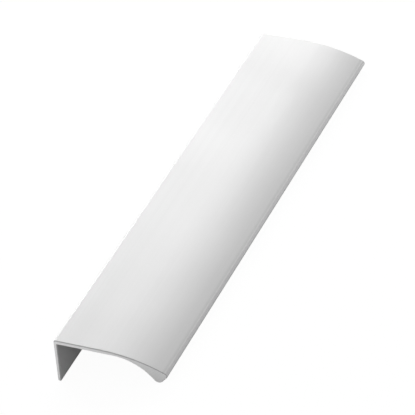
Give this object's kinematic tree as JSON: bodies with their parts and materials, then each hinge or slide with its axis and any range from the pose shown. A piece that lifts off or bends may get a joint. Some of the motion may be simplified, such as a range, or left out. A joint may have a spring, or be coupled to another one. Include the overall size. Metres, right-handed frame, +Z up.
{
  "type": "profile handle",
  "caption": "Extruded aluminium edge pull: a screwed back flange, a flat top that lies on a drawer front, and a crowned pull with a rounded lip and finger grip.",
  "frame": {"origin": "middle of the bottom of the box, on the floor that the handle rests on", "axes": "+X along the extrusion, -Y towards the lip, +Z up; the handle rests on its flange edge and lip tip"},
  "size_m": [0.2, 0.0446, 0.018],
  "materials": {
    "satin_aluminium": "satin"
  },
  "bodies": {
    "root": {"handle_profile": "satin_aluminium"}
  },
  "joints": []
}
